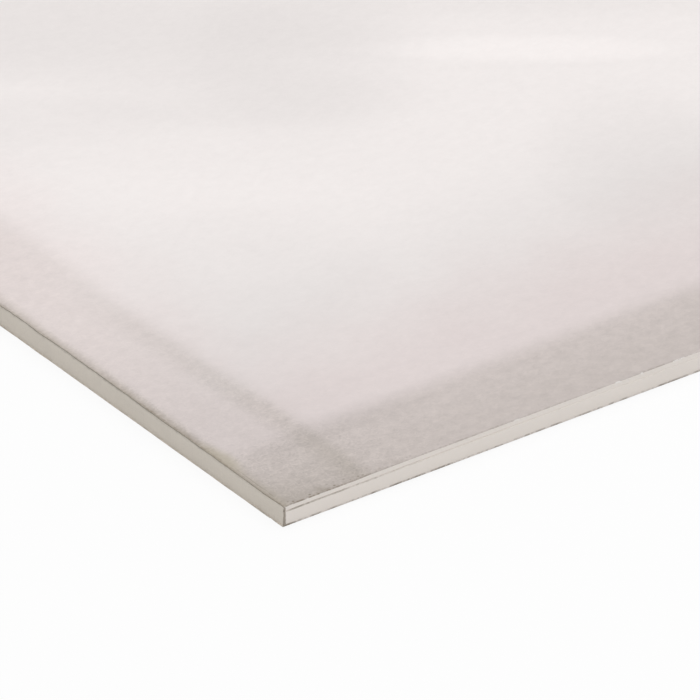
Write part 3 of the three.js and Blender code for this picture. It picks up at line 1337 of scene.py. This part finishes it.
@dataclass(frozen=True)
class RawPaperFinish:
    """Grey-brown recycled fibre, on a paper's cut edges and on the side that grips the gypsum.

    Attributes:
        name: Name of the material.
        colour: Colour of the fibre.
        low_colour: Its colour right under the sheet.
        low_ramp: The heights between which the one turns into the other.
    """

    name: str
    colour: Colour
    low_colour: Colour = (0.66, 0.60, 0.53)
    low_ramp: Ramp = (0.6 * MM, 1.5 * MM)

    def make(self) -> bpy.types.Material:
        """Writes the material, which is clean and pale right under the sheet.

        Returns:
            The finished material.
        """
        bench = Bench(bpy.data.materials.new(self.name))
        patches = bench.noise((4 * MM, 4 * MM, 1 * MM), 3.0)
        fibre = bench.noise((1.2 * MM, 0.7 * MM, 0.3 * MM), 3.0, 0.6)
        colour = bench.mix(bench.ease(bench.axes()[2], self.low_ramp), self.low_colour, self.colour)
        colour = bench.shade(colour, patches * 0.9 + fibre * 0.4 + 1)
        return bench.finish(colour, 0.95, fibre, 0.1 * MM, 0.2)


@dataclass(frozen=True)
class GypsumFinish:
    """Foamed gypsum on a cut face: bubbles, crumbs, stray pale fibres and faint saw marks.

    Attributes:
        form: The sheet's sizes.
        colour: Colour of the gypsum.
        shadow: Strength of the shadow under the face paper.
        shadow_depth: How far down the shadow reaches.
        shadow_wander: How far its border wanders.
    """

    form: SheetForm
    colour: Colour = (0.722, 0.665, 0.592)
    shadow: float = 0.5
    shadow_depth: float = 1.2 * MM
    shadow_wander: float = 2.4 * MM

    def make(self) -> bpy.types.Material:
        """Writes the material, which is darker right under the face paper.

        Returns:
            The finished material.
        """
        bench = Bench(bpy.data.materials.new("gypsum_foamed"))
        bubbles = bench.specks(0.9 * MM, 0.42, 0.5)
        holes = bench.specks(2.0 * MM, 0.26, 0.2)
        blotches = bench.noise((22 * MM, 22 * MM, 9 * MM), 3.0)
        crumbs = bench.noise(1.1 * MM, 3.0, 0.7)
        saw = bench.noise((4 * MM, 1.2 * MM, 30 * MM))
        # The bubbles and holes: painted darker, as the shade in them, and sunk in the relief.
        pits = bubbles * 0.5 + holes
        colour = bench.shade(self.colour, blotches * 0.10 + crumbs * 0.10 + saw * 0.05 - pits * 0.07 + 1)
        fibres = bench.specks((9 * MM, 7 * MM, 0.9 * MM), 0.16, 0.25)
        colour = bench.mix(fibres * 0.4, colour, toned(self.colour, 1.28))
        height = bench.axes()[2] + bench.noise(5 * MM, 3.0, 0.65) * self.shadow_wander
        under_paper = self.form.thickness - self.form.face_paper - self.form.cut_drop
        shadow = bench.ease(height, (under_paper - self.shadow_depth, under_paper)) * self.shadow
        colour = bench.mix(shadow, colour, toned(self.colour, 0.4))
        return bench.finish(colour, 0.94, crumbs * 0.8 + saw * 0.5 - pits * 0.8, 0.25 * MM, 0.2)


@dataclass(frozen=True)
class BackPaperFinish:
    """Grey-brown recycled back paper, streaky, with dark and pale flecks of old print and pulp.

    Attributes:
        colour: Colour of the paper.
    """

    colour: Colour = (0.36, 0.315, 0.26)

    def make(self) -> bpy.types.Material:
        """Writes the material.

        Returns:
            The finished material.
        """
        bench = Bench(bpy.data.materials.new("back_paper_recycled"))
        streaks = bench.noise((30 * MM, 5 * MM, 5 * MM), 4.0, 0.6)
        fibre = bench.noise((1.8 * MM, 0.8 * MM, 0.8 * MM), 3.0, 0.6)
        dark = bench.specks((3.5 * MM, 2.4 * MM, 2.4 * MM), 0.13, 0.4)
        pale = bench.specks((6.0 * MM, 3.1 * MM, 3.1 * MM), 0.12, 0.35)
        colour = bench.shade(self.colour, streaks * 0.16 + fibre * 0.16 + 1)
        colour = bench.mix(dark * 0.5, colour, toned(self.colour, 0.4))
        colour = bench.mix(pale * 0.5, colour, toned(self.colour, 1.9))
        return bench.finish(colour, 0.85, fibre, 0.06 * MM, 0.25)


# ------------------------------------------------------------------ the sheet's pieces


class Skin(Enum):
    """The two materials of a paper, by their numbers on its mesh."""

    FINISHED = 0
    RAW = 1


@dataclass
class PaperWeb:
    """A web of paper as two like layers, the outer one finely divided where it shows.

    Each layer is a strip along either long edge, with close stations along X, and a field
    between them, with close rows along Y near the cuts and wide ones elsewhere.

    Attributes:
        form: The sheet's sizes.
        cut: The sheet's cut ends.
        outer_faces_up: Whether the layer that shows is the upper one.
        fine_step: Distance between the stations of the outer layer's strips.
        wide_step: Distance between stations and rows elsewhere.
        row_step: Distance between the rows near the cuts.
        outer_roll: Stations of the outer layer over the rolled arris, in widths of it.
        inner_roll: Those of the inner layer.
        last_roll: The last station before the pressed step.
        crisp_from: Edges that turn by less than this, in degrees, shade smooth.
    """

    form: SheetForm
    cut: CutLine
    outer_faces_up: bool = True
    fine_step: float = 4 * MM
    wide_step: float = 60 * MM
    row_step: float = 1.3 * MM
    outer_roll: tuple[float, ...] = (0, 0.15, 0.35, 0.6, 1, 2)
    inner_roll: tuple[float, ...] = (0, 1)
    last_roll: float = 4.5
    crisp_from: float = 40

    def edge_points(self, x: np.ndarray, side: Side, outer: bool) -> tuple[np.ndarray, np.ndarray]:
        """One long edge of a layer, from the field out, and its arc. Each kind of web gives its own."""
        raise NotImplementedError

    def field_height(self, x: np.ndarray, outer: bool) -> np.ndarray:
        """Height of a layer's field at the stations. Each kind of web gives its own."""
        raise NotImplementedError

    def field_half(self) -> float:
        """Half the width of the field. Each kind of web gives its own."""
        raise NotImplementedError

    def stations(self, step: float, roll: Sequence[float]) -> tuple[np.ndarray, np.ndarray, np.ndarray]:
        """Places along the sheet: over the near end, between the ends, and over the far end.

        Args:
            step: Distance between the middle stations.
            roll: Places over the rolled arris, in widths of it.

        Returns:
            The three runs of stations, in order of X.
        """
        form = self.form
        over_roll = np.array([*roll, self.last_roll]) * form.roll_width
        over_step = np.linspace(form.step_foot, form.step_head, 4 + round(form.step_width / step))
        reach = np.concatenate([over_roll, over_step])
        start = form.length / 2 - form.step_head
        middle = np.linspace(-start, start, round(2 * start / step) + 1)[1:-1]
        return reach - form.length / 2, middle, (form.length / 2 - reach)[::-1]

    def trimmed(self, points: np.ndarray) -> np.ndarray:
        """Draws points in to the frayed cut line, less and less across the rolled arris.

        Args:
            points: Points of shape (..., 3).

        Returns:
            The points after the cut.
        """
        x, y, z = np.moveaxis(points, -1, 0)
        near_cut = 1 - smoothstep((self.form.length / 2 - np.abs(x)) / self.form.roll_width)
        inward = np.where(x < 0, self.cut.paper(End.NEAR, y, z), self.cut.paper(End.FAR, y, z))
        return np.stack([x - np.sign(x) * near_cut * inward, y, z], axis=-1)

    def add_field(self, work: Patchwork, x: np.ndarray, rows: np.ndarray, outer: bool) -> np.ndarray:
        """Adds a patch of the field.

        Args:
            work: The mesh to add to.
            x: Stations along the sheet.
            rows: Places across the sheet.
            outer: Whether the layer is the one that shows.

        Returns:
            The numbers of its points, by (station, row).
        """
        height = self.field_height(x, outer)[:, None]
        points = np.stack(np.broadcast_arrays(x[:, None], rows, height), axis=-1)
        return work.add(self.trimmed(points), np.abs(rows) - self.form.width / 2)

    def add_layer(self, work: Patchwork, outer: bool) -> tuple[list[np.ndarray], list[Row]]:
        """Adds one layer, facing away from the other.

        Args:
            work: The mesh to add to.
            outer: Whether the layer is the one that shows.

        Returns:
            The numbers along its two cuts, from -Y to +Y, and its two outermost rows.
        """
        skin = (Skin.FINISHED if outer else Skin.RAW).value
        roll = self.outer_roll if outer else self.inner_roll
        along = self.stations(self.fine_step if outer else self.wide_step, roll)
        field_along = self.stations(self.wide_step, roll)
        x, field_x = np.concatenate(along), np.concatenate(field_along)
        half = self.field_half()
        close_rows = np.linspace(-half, half, round(2 * half / self.row_step) + 1)[1:-1]
        wide_rows = np.linspace(close_rows[0], close_rows[-1], round(2 * half / self.wide_step))

        strips = []
        for side in Side:
            points, arc = self.edge_points(x, side, outer)
            strips.append(work.add(self.trimmed(points), arc))
        left, right = strips[0][:, ::-1], strips[1]
        rows_of = (close_rows, wide_rows, close_rows)
        patches = [self.add_field(work, at, rows, outer) for at, rows in zip(field_along, rows_of)]
        turned = outer != self.outer_faces_up
        for patch in (left, *patches, right):
            work.grid(patch, skin, turned)
        for k in (0, 1):
            low, high = (patches[k][-1], rows_of[k]), (patches[k + 1][0], rows_of[k + 1])
            work.zip(low, high, skin, not turned)
        first, last = (np.concatenate([patch[:, k] for patch in patches]) for k in (0, -1))
        work.zip((left[:, -1], x), (first, field_x), skin, turned)
        work.zip((last, field_x), (right[:, 0], x), skin, turned)
        ends = ((0, patches[0]), (-1, patches[2]))
        cuts = [np.concatenate([left[k], patch[k], right[k]]) for k, patch in ends]
        return cuts, [(left[:, 0], x), (right[:, -1], x)]

    def make_mesh(self, name: str, skins: Sequence[bpy.types.Material]) -> bpy.types.Object:
        """Joins the two layers at the cuts and along their outermost rows, into a closed web.

        Args:
            name: Name of the object.
            skins: Its finished and its raw material.

        Returns:
            The new object.
        """
        work = Patchwork()
        outer_cuts, outer_rims = self.add_layer(work, True)
        inner_cuts, inner_rims = self.add_layer(work, False)
        for k in (0, 1):
            turned = (k == 0) == self.outer_faces_up
            work.grid(np.stack([outer_cuts[k], inner_cuts[k]]), Skin.RAW.value, turned)
            work.zip(outer_rims[k], inner_rims[k], Skin.RAW.value, turned)
        return work.build(name, self.crisp_from, skins)


@dataclass
class FacePaper(PaperWeb):
    """The face paper: over the face, round both long edges, and in under the back as two flaps.

    Attributes:
        arris_wear: How far the arris is worn down at the most.
        wear_reach: How far from the arris the wear reaches.
        wear_pitches: Pitch of the long worn stretches and of the chips in them.
        wear_slant: How far the wear draws the arris in, as a share of how far it lowers it.
        crease_wander: How far the crease wanders up and down.
        crease_reach: How far from the crease the side follows it.
        sway_pitches: Pitch of the crease's slow and of its quick wandering.
        press_pitch: Pitch of the crease's changes of depth.
        press_change: Share of its depth by which the crease changes.
        faint_from: Distance in from a cut at which the crease starts to fade.
        faint_over: Distance over which it fades.
        faintness: Share of its depth that the crease loses.
        bow: How far the side bows in at the most.
        bow_pitch: Pitch of the bow.
        side_reach: How far in from the side bow and tuck reach.
        tuck: How far the inner layer lies behind the outer one's unevenness, away from the cuts.
        raw_colour: Colour of the raw fibre.
    """

    arris_wear: float = 0.22 * MM
    wear_reach: float = 1.3 * MM
    wear_pitches: tuple[float, float] = (17 * MM, 5 * MM)
    wear_slant: float = 0.7
    crease_wander: float = 0.30 * MM
    crease_reach: float = 1.4 * MM
    sway_pitches: tuple[float, float] = (90 * MM, 9 * MM)
    press_pitch: float = 45 * MM
    press_change: float = 0.4
    faint_from: float = 60 * MM
    faint_over: float = 140 * MM
    faintness: float = 0.75
    bow: float = 0.12 * MM
    bow_pitch: float = 70 * MM
    side_reach: float = 4 * MM
    tuck: float = 0.35 * MM
    raw_colour: Colour = (0.33, 0.29, 0.235)

    def edge_points(self, x: np.ndarray, side: Side, outer: bool) -> tuple[np.ndarray, np.ndarray]:
        """Carries the edge's line along the sheet.

        Its points follow the face's drop by their give. On the outer layer the arris is worn down
        in a bell round its corner, the crease wanders in height and depth, and the side bows in.
        The inner layer is tucked in behind that, away from the cuts.

        Args:
            x: Stations along the sheet.
            side: Which long edge.
            outer: Whether the layer is the one that shows.

        Returns:
            Points of shape (stations, points of the edge, 3), and the arc of the edge's points.
        """
        form, u, strand = self.form, x[:, None], side.value
        line = form.edge_line(0.0 if outer else form.face_paper)
        reach = form.length / 2 - np.abs(u)
        inset = line.inset + form.crease_depth * line.groove
        z = line.height - line.give * form.drop(reach)
        near_side = bell(line.inset, self.side_reach)
        if outer:
            wear = Grain(Seed.ARRIS_WEAR, self.wear_pitches[0]).along(u, strand)
            wear = wear + Grain(Seed.ARRIS_CHIPS, self.wear_pitches[1]).along(u, strand) * 0.6
            wear = self.arris_wear * np.clip(wear, 0, 1) * bell(line.arc, self.wear_reach)
            wander = Grain(Seed.CREASE_SWAY, self.sway_pitches[0]).along(u, strand) * 0.5
            wander = wander + Grain(Seed.CREASE_SHAKE, self.sway_pitches[1]).along(u, strand) * 0.5
            near_crease = bell(line.height - form.crease_height, self.crease_reach) * (line.arc > 0)
            faint = smoothstep((reach - self.faint_from) / self.faint_over) * self.faintness
            press = self.press_change * Grain(Seed.CREASE_PRESS, self.press_pitch).along(u, strand)
            depth = form.crease_depth * (press * (1 - faint) - faint)
            bow = Grain(Seed.SIDE_BOW, self.bow_pitch).along(u, strand) * 0.5 + 0.5
            inset = inset + depth * line.groove + self.wear_slant * wear + self.bow * bow * near_side
            z = z - wear + self.crease_wander * wander * near_crease
        else:
            inset = inset + self.tuck * near_side * smoothstep(reach / form.roll_width)
        y = strand * (form.width / 2 - inset)
        return np.stack(np.broadcast_arrays(u, y, z), axis=-1), line.arc

    def field_height(self, x: np.ndarray, outer: bool) -> np.ndarray:
        """The flat face, which drops towards the cuts, or the gypsum under it."""
        cover = 0.0 if outer else self.form.face_paper
        return self.form.thickness - cover - self.form.drop(self.form.length / 2 - np.abs(x))

    def field_half(self) -> float:
        """The field reaches to the tapers' soft bends."""
        return self.form.flat_half

    def build(self) -> bpy.types.Object:
        """Builds and dresses the web.

        Returns:
            The finished piece.
        """
        raw = RawPaperFinish("face_paper_raw_fibre", self.raw_colour)
        piece = self.make_mesh("face_paper_web", (FacePaperFinish(self.form).make(), raw.make()))
        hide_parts("face_paper")
        return piece


@dataclass
class BackPaper(PaperWeb):
    """The back paper: a flat web that laps both flaps, with wavy slit edges.

    Attributes:
        outer_faces_up: Its outer layer is the lower one.
        fine_step: Distance between the stations of the outer layer's strips.
        row_step: Distance between the rows near the cuts.
        slit_wave: How far in a slit edge wanders at the most.
        slit_pitches: Pitch of its slow and of its quick wandering.
        strip_width: Width of the strip along each slit edge.
        strip_points: Number of points across the strip.
        raw_colour: Colour of the raw fibre.
    """

    outer_faces_up: bool = False
    fine_step: float = 6 * MM
    row_step: float = 2.5 * MM
    slit_wave: float = 0.5 * MM
    slit_pitches: tuple[float, float] = (60 * MM, 15 * MM)
    strip_width: float = 12 * MM
    strip_points: int = 5
    raw_colour: Colour = (0.66, 0.60, 0.53)

    def edge_points(self, x: np.ndarray, side: Side, outer: bool) -> tuple[np.ndarray, np.ndarray]:
        """A flat strip out to the slit edge, which wanders in by two waves of unevenness.

        Args:
            x: Stations along the sheet.
            side: Which long edge.
            outer: Whether the layer is the one that shows.

        Returns:
            Points of shape (stations, points of the strip, 3), and the arc of the strip's points.
        """
        u, strand = x[:, None], side.value
        share = np.linspace(0, 1, self.strip_points)
        sway = Grain(Seed.SLIT_SWAY, self.slit_pitches[0]).along(u, strand) * 0.3
        shake = Grain(Seed.SLIT_SHAKE, self.slit_pitches[1]).along(u, strand) * 0.2
        slit = self.slit_wave * (sway + shake + 0.5)
        half = self.field_half() + self.strip_width * share - slit * share
        points = np.stack(np.broadcast_arrays(u, strand * half, self.level(outer)), axis=-1)
        return points, self.strip_width * (share - 1)

    def level(self, outer: bool) -> float:
        """Height of a layer: the floor for the outer one, and the lapped flaps' underside."""
        return 0.0 if outer else self.form.back_paper

    def field_height(self, x: np.ndarray, outer: bool) -> np.ndarray:
        """The web lies flat."""
        return np.full(len(x), self.level(outer))

    def field_half(self) -> float:
        """The field reaches to the strips that hold the slit edges."""
        return self.form.width / 2 - self.form.flap_width + self.form.back_lap - self.strip_width

    def build(self) -> bpy.types.Object:
        """Builds and dresses the web.

        Returns:
            The finished piece.
        """
        raw = RawPaperFinish("back_paper_raw_fibre", self.raw_colour)
        piece = self.make_mesh("back_paper_web", (BackPaperFinish().make(), raw.make()))
        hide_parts("back_paper")
        return piece


@dataclass
class GypsumCore:
    """The core: cast under the face paper, rebated for the flaps, and sawn open at both ends.

    Attributes:
        form: The sheet's sizes.
        cut: The sheet's cut ends.
        grit: Distance between the section's columns.
        levels: Number of points in a column.
        crowding: How much closer a column's points lie towards the face.
        rim_columns: Places of the columns near the side, in from it.
        rim_gap: Distance in from the side at which the even columns start.
        rebate_gap: Distance that the even columns keep from the rebate's step.
        rebate_ramp: Width of that step.
        tuck: How far the cast surface lies in behind the paper, away from the cuts.
        crisp_from: Edges that turn by less than this, in degrees, shade smooth.
    """

    form: SheetForm
    cut: CutLine
    grit: float = 1.3 * MM
    levels: int = 20
    crowding: float = 0.6
    rim_columns: tuple[float, ...] = (
        0, 0.08 * MM, 0.2 * MM, 0.4 * MM, 0.7 * MM, 1.1 * MM, 1.7 * MM, 2.6 * MM)
    rim_gap: float = 3.9 * MM
    rebate_gap: float = 0.5 * MM
    rebate_ramp: float = 0.1 * MM
    tuck: float = 0.4 * MM
    crisp_from: float = 50

    def section(self) -> tuple[np.ndarray, np.ndarray, np.ndarray]:
        """The section as a grid of upright lines, which bend to the edge's line at either side.

        Each column stands at its own inset from the gypsum's side. Its points divide the height
        between underside and face evenly, closer towards the face. The columns near a side lean
        after that side by a share that falls from 1 on it to 0.

        Returns:
            Place across the sheet, height and give, each of shape (columns, levels).
        """
        form = self.form
        line = form.edge_line(form.face_paper)
        side = slice(line.fold_point, line.face_points - 2, -1)
        side_inset = (line.inset + form.crease_depth * line.groove)[side]
        rim = np.array(self.rim_columns)
        rebate = form.flap_width - form.face_paper
        inner = np.arange(self.rim_gap, form.width / 2 - form.face_paper, self.grit)
        inner = inner[np.abs(inner - rebate) > self.rebate_gap]
        column = np.unique(np.concatenate([rim, inner, [rebate, rebate + self.rebate_ramp]]))
        inset = column + form.face_paper
        top = slice(line.face_points - 1, None, -1)
        ceiling = np.interp(inset, line.inset[top], line.height[top])
        floor = np.interp(inset, line.inset[line.fold_point:], line.height[line.fold_point:])
        floor = np.where(column > rebate, form.back_paper, floor)
        share = np.linspace(0, 1, self.levels)
        share = share * (1 + self.crowding - self.crowding * share)
        z = floor[:, None] + (ceiling - floor)[:, None] * share
        follow = np.clip(1 - column / rim[-1], 0, 1)[:, None]
        inset = inset[:, None] + follow * (np.interp(z, line.height[side], side_inset) - form.face_paper)
        y = form.width / 2 - inset
        give = np.clip((z - form.crease_height) / (ceiling[:, None] - form.crease_height), 0, 1)
        return np.concatenate([-y, y[::-1]]), np.concatenate([z, z[::-1]]), np.concatenate([give, give[::-1]])

    def build(self) -> bpy.types.Object:
        """Builds and dresses the core: two rough cut faces and the cast surface between them.

        Returns:
            The finished piece.
        """
        form, work = self.form, Patchwork()
        y, z, give = self.section()
        cut_z = z - give * form.cut_drop
        rings = []
        for end in End:
            inward = self.cut.gypsum(end, y, cut_z, cut_z[:, -1:] - cut_z)
            numbers = work.add(np.stack([end.value * (form.length / 2 - inward), y, cut_z], axis=-1))
            work.grid(numbers, 0, end is End.NEAR)
            rings.append(self.around(numbers)[None])
        around_y, around_z, around_give = (self.around(values) for values in (y, z, give))
        reach = np.array([form.roll_width, form.step_foot, form.step_distance, form.step_head])[:, None]
        tucked_y = around_y * (1 - self.tuck / (form.width / 2))
        loops = []
        for end, order in ((End.NEAR, 1), (End.FAR, -1)):
            x = end.value * (form.length / 2 - reach[::order])
            heights = around_z - around_give * form.drop(reach[::order])
            loops.append(work.add(np.stack(np.broadcast_arrays(x, tucked_y, heights), axis=-1)))
        shell = np.concatenate([rings[0], *loops, rings[1]])
        work.grid(np.column_stack([shell, shell[:, :1]]), 0)
        piece = work.build("gypsum_core_cast", self.crisp_from, (GypsumFinish(form).make(),))
        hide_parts("gypsum_core")
        return piece

    @staticmethod
    def around(values: np.ndarray) -> np.ndarray:
        """The rim of a grid of (column, level), once round, clockwise as seen from +X."""
        return np.concatenate([values[0, :-1], values[:-1, -1], values[-1, :0:-1], values[:0:-1, 0]])


# ------------------------------------------------------------------ the studio


@dataclass(frozen=True)
class Softbox:
    """A rectangular studio lamp.

    Attributes:
        name: Name of the lamp.
        width: Its width.
        depth: Its other side.
        place: Where it hangs.
        target: The point that it faces.
        power: Its power, in watts.
    """

    name: str
    width: float
    depth: float
    place: Place
    target: Place
    power: float

    def build(self) -> None:
        """Hangs the lamp, which the camera doesn't see."""
        light = bpy.data.lights.new(self.name, "AREA")
        light.shape = "RECTANGLE"
        light.size, light.size_y = self.width, self.depth
        light.energy = self.power
        lamp = bpy.data.objects.new(self.name, light)
        way = Vector(self.place) - Vector(self.target)
        lamp.matrix_world = Matrix.Translation(self.place) @ way.to_track_quat("Z", "Y").to_matrix().to_4x4()
        lamp.visible_camera = False
        bpy.context.scene.collection.objects.link(lamp)


OVERHEAD = Softbox("softbox_overhead", 6.0, 6.0, (0.0, 0.0, 4.0), (0.0, 0.0, 0.0), 123.0)


@dataclass(frozen=True)
class Studio:
    """A plain white floor and surround, one broad soft lamp and a long-lens camera.

    Attributes:
        form: The sheet's sizes.
        lamp: The lamp.
        azimuth: How far round the camera stands from square-on to the long edge, in degrees.
        elevation: How far above the floor it stands, in degrees.
        distance: Distance from the camera to what it aims at.
        view_width: Width of the view at that distance.
        aim_right: How far to the right of the near top corner the camera aims.
        aim_up: How far above it.
        sensor: Width of the camera's sensor, in millimetres.
        floor_size: Length of the floor's sides.
        floor_colour: Colour of the floor.
        floor_glow: Share of plain white in the floor as it is shown.
        world_level: Strength of the surround's light.
    """

    form: SheetForm
    lamp: Softbox = OVERHEAD
    azimuth: float = -36.0
    elevation: float = 30.44
    distance: float = 8.0
    view_width: float = 0.3447
    aim_right: float = 0.03295
    aim_up: float = 0.0777
    sensor: float = 36.0
    floor_size: float = 80.0
    floor_colour: Colour = (0.9, 0.9, 0.9)
    floor_glow: float = 0.88
    world_level: float = 0.55

    def shown(self, bench: Bench) -> Wire:
        """Tells the rays that show the surround, straight or in gloss or glass, from its light.

        Args:
            bench: The bench of the material or world.

        Returns:
            1 for the rays that show it, and 0 for its light.
        """
        path = bench.node("ShaderNodeLightPath").outputs
        rays = ("Is Camera Ray", "Is Glossy Ray", "Is Transmission Ray")
        return bench.most(*(Wire(bench, path[ray]) for ray in rays))

    def add_floor(self) -> None:
        """Lays the floor, which shows near white and keeps the sheet's shadow."""
        half = self.floor_size / 2
        corners = [(-half, -half, 0), (half, -half, 0), (half, half, 0), (-half, half, 0)]
        mesh = bpy.data.meshes.new("floor")
        mesh.from_pydata(corners, [], [(0, 1, 2, 3)])
        floor = bpy.data.objects.new("floor", mesh)
        bpy.context.scene.collection.objects.link(floor)
        bench = Bench(bpy.data.materials.new("floor_white"))
        matt = bench.node("ShaderNodeBsdfDiffuse", inputs={"Color": (*self.floor_colour, 1.0)})
        white = bench.node("ShaderNodeEmission", inputs={"Strength": 1.0})
        both = bench.node("ShaderNodeMixShader", inputs={
            0: self.shown(bench) * self.floor_glow, 1: matt.outputs[0], 2: white.outputs[0]})
        bench.node("ShaderNodeOutputMaterial", inputs={"Surface": both.outputs[0]})
        mesh.materials.append(bench.owner)

    def add_world(self) -> None:
        """Sets an even surround, which shows white and lights at its own level."""
        bench = Bench(bpy.data.worlds.new("surround"))
        strength = self.shown(bench) * (1 - self.world_level) + self.world_level
        sky = bench.node("ShaderNodeBackground", inputs={"Color": (1.0, 1.0, 1.0, 1.0), "Strength": strength})
        bench.node("ShaderNodeOutputWorld", inputs={"Surface": sky.outputs[0]})
        bpy.context.scene.world = bench.owner

    def add_camera(self) -> None:
        """Stands the camera off the near corner, looking down along the sheet."""
        turn, rise = math.radians(self.azimuth), math.radians(self.elevation)
        right = Vector((math.cos(turn), math.sin(turn), 0.0))
        back = Vector((math.sin(turn) * math.cos(rise), -math.cos(turn) * math.cos(rise), math.sin(rise)))
        top = self.form.arris_height - self.form.cut_drop
        corner = Vector((-self.form.length / 2, -self.form.width / 2, top))
        aim = corner + right * self.aim_right + back.cross(right) * self.aim_up
        data = bpy.data.cameras.new("camera")
        data.sensor_width = self.sensor
        data.lens = self.sensor * self.distance / self.view_width
        data.clip_end = 3 * self.floor_size
        camera = bpy.data.objects.new("camera", data)
        turned = back.to_track_quat("Z", "Y").to_matrix().to_4x4()
        camera.matrix_world = Matrix.Translation(aim + back * self.distance) @ turned
        bpy.context.scene.collection.objects.link(camera)
        bpy.context.scene.camera = camera

    def build(self) -> None:
        """Sets the camera, the floor, the surround and the lamp."""
        self.add_camera()
        self.add_floor()
        self.add_world()
        self.lamp.build()
        bpy.context.scene.view_settings.view_transform = "Standard"


def main() -> None:
    """Sets the studio, and builds the sheet's pieces to ride on its body."""
    logging.basicConfig(level=logging.INFO, format="%(name)s: %(message)s")
    low, high = CAD_BOUNDS
    form = SheetForm(*(high - low))
    cut = CutLine(form)
    Studio(form).build()
    for part in (GypsumCore(form, cut), FacePaper(form, cut), BackPaper(form, cut)):
        piece = part.build()
        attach(piece, BODY)
        LOG.info("%s: %d triangles", piece.name, len(piece.data.polygons))


if __name__ == "__main__":
    main()
